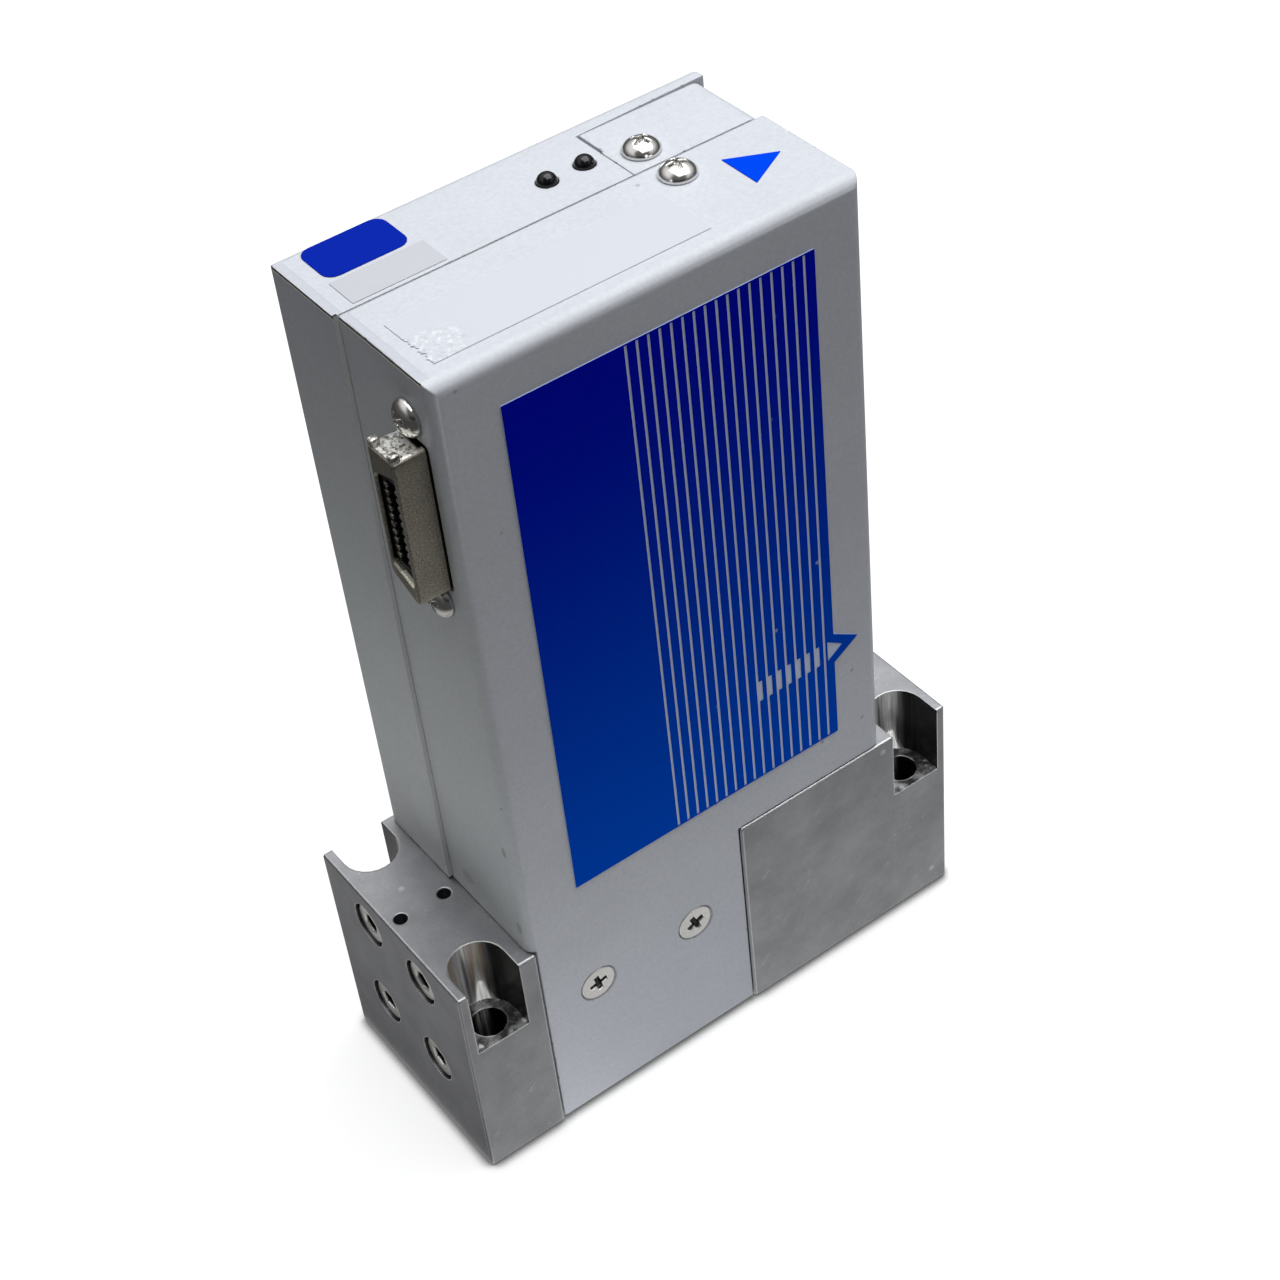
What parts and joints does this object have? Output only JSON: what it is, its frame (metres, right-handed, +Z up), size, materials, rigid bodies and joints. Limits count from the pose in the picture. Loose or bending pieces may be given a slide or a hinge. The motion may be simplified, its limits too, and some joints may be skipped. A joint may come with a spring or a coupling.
{
  "type": "mass flow controller",
  "caption": "Gas mass flow controller: tall folded-sheet housing on a stainless gas block with open bolt recesses at both ends and a side connector.",
  "frame": {"origin": "centre of the underside of the gas blocks", "axes": "+X along the gas flow from inlet to outlet, -Y towards the printed front, +Z up"},
  "size_m": [0.092, 0.0382, 0.1437],
  "materials": {
    "ground_steel": "stainless steel with a fine ground grain",
    "screw_steel": "plain stainless steel",
    "nickel_screw": "bright nickel plate",
    "gasket_nickel": "soft nickel, satin",
    "die_cast_shell": "die casting with dull nickel plate",
    "cover_paint": "smooth pale grey semi-gloss paint",
    "print_blue": "deep blue print",
    "print_white": "pale label film",
    "label_grey": "grey label film",
    "label_film": "clear label film",
    "black_plastic": "black moulded plastic",
    "lamp_lens": "near-black tinted lens",
    "circuit_board": "green solder resist",
    "plated_sheet": "zinc-plated sheet",
    "seat_polymer": "pale hard polymer",
    "piezo_ceramic": "brown ceramic",
    "dark_metal": "blackened steel"
  },
  "bodies": {
    "root": {"inlet_block": "ground_steel", "valve_body": "ground_steel", "outlet_block": "ground_steel", "orifice_plate": "ground_steel", "valve_bonnet": "ground_steel", "bonnet_nut": "ground_steel", "valve_push_rod": "ground_steel", "actuator_case": "ground_steel", "upstream_pressure_sensor": "ground_steel", "downstream_pressure_sensor": "ground_steel", "inlet_tie_screw_1": "screw_steel", "inlet_tie_screw_2": "screw_steel", "inlet_tie_screw_3": "screw_steel", "inlet_tie_screw_4": "screw_steel", "outlet_tie_screw_1": "screw_steel", "outlet_tie_screw_2": "screw_steel", "outlet_tie_screw_3": "screw_steel", "outlet_tie_screw_4": "screw_steel", "top_screw_1": "nickel_screw", "top_screw_2": "nickel_screw", "front_cover_screw_1": "nickel_screw", "front_cover_screw_2": "nickel_screw", "rear_cover_screw_1": "nickel_screw", "rear_cover_screw_2": "nickel_screw", "connector_screw_1": "nickel_screw", "connector_screw_2": "nickel_screw", "chassis_screw_1": "nickel_screw", "chassis_screw_2": "nickel_screw", "board_screw_1": "nickel_screw", "board_screw_2": "nickel_screw", "inlet_joint_gasket": "gasket_nickel", "outlet_joint_gasket": "gasket_nickel", "upstream_sensor_gasket": "gasket_nickel", "downstream_sensor_gasket": "gasket_nickel", "valve_diaphragm": "gasket_nickel", "connector_shell": "die_cast_shell", "front_cover": "cover_paint", "rear_cover": "cover_paint", "access_plate": "cover_paint", "front_print": "print_blue", "gas_label": "print_blue", "flow_marker": "print_blue", "front_label": "print_white", "range_label": "label_grey", "rating_label": "label_film", "connector_insulator": "black_plastic", "lamp_1": "lamp_lens", "lamp_2": "lamp_lens", "main_board": "circuit_board", "connector_board": "circuit_board", "chassis_frame": "plated_sheet", "board_standoff_1": "plated_sheet", "board_standoff_2": "plated_sheet", "valve_seat": "seat_polymer", "piezo_stack": "piezo_ceramic", "disc_spring": "dark_metal", "actuator_cap": "dark_metal"}
  },
  "joints": []
}
